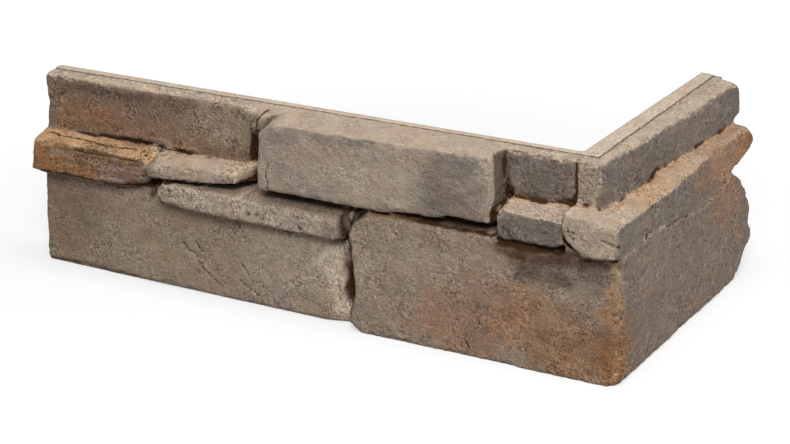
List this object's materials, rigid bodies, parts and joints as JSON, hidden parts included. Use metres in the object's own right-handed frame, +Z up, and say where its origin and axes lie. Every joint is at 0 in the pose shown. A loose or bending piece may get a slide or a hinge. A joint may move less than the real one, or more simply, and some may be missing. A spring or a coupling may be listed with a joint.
{
  "type": "stone cladding corner piece",
  "caption": "L-shaped cast stone cladding piece that wraps an outside wall corner; its front imitates split stones laid dry in courses, its back is two flat wall faces.",
  "frame": {"origin": "foot of the inner corner, where the two flat wall faces meet at the base", "axes": "+Z up; the long leg runs towards -X with its wall face looking +Y and its stones looking -Y; the short leg runs towards +Y with its wall face looking -X and its stones looking +X"},
  "size_m": [0.4884, 0.2625, 0.15],
  "materials": {
    "cast_stone": "rough split face"
  },
  "bodies": {
    "root": {"stone_corner": "cast_stone"}
  },
  "joints": []
}
